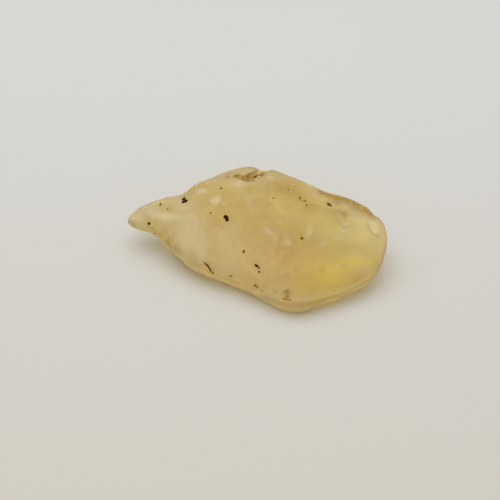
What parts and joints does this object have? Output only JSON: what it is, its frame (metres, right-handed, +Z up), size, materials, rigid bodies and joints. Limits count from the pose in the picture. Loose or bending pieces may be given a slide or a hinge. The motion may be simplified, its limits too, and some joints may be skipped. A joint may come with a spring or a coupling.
{
  "type": "raw libyan desert glass",
  "caption": "Raw lump of straw-yellow natural desert glass with a blunt beak, a chipped ridge and a thick butt end, worn satin by wind-blown sand, lying on its flat side.",
  "frame": {"origin": "middle of the lump's bounding box, on the plane of the flat patch that it rests on", "axes": "+X along the length, from the beak to the butt end; +Y from the low front edge to the steep back; +Z up"},
  "size_m": [0.0456, 0.0264, 0.0152],
  "materials": {
    "desert_glass": "satin, wind-worn, translucent straw yellow"
  },
  "bodies": {
    "root": {"desert_glass": "desert_glass"}
  },
  "joints": []
}
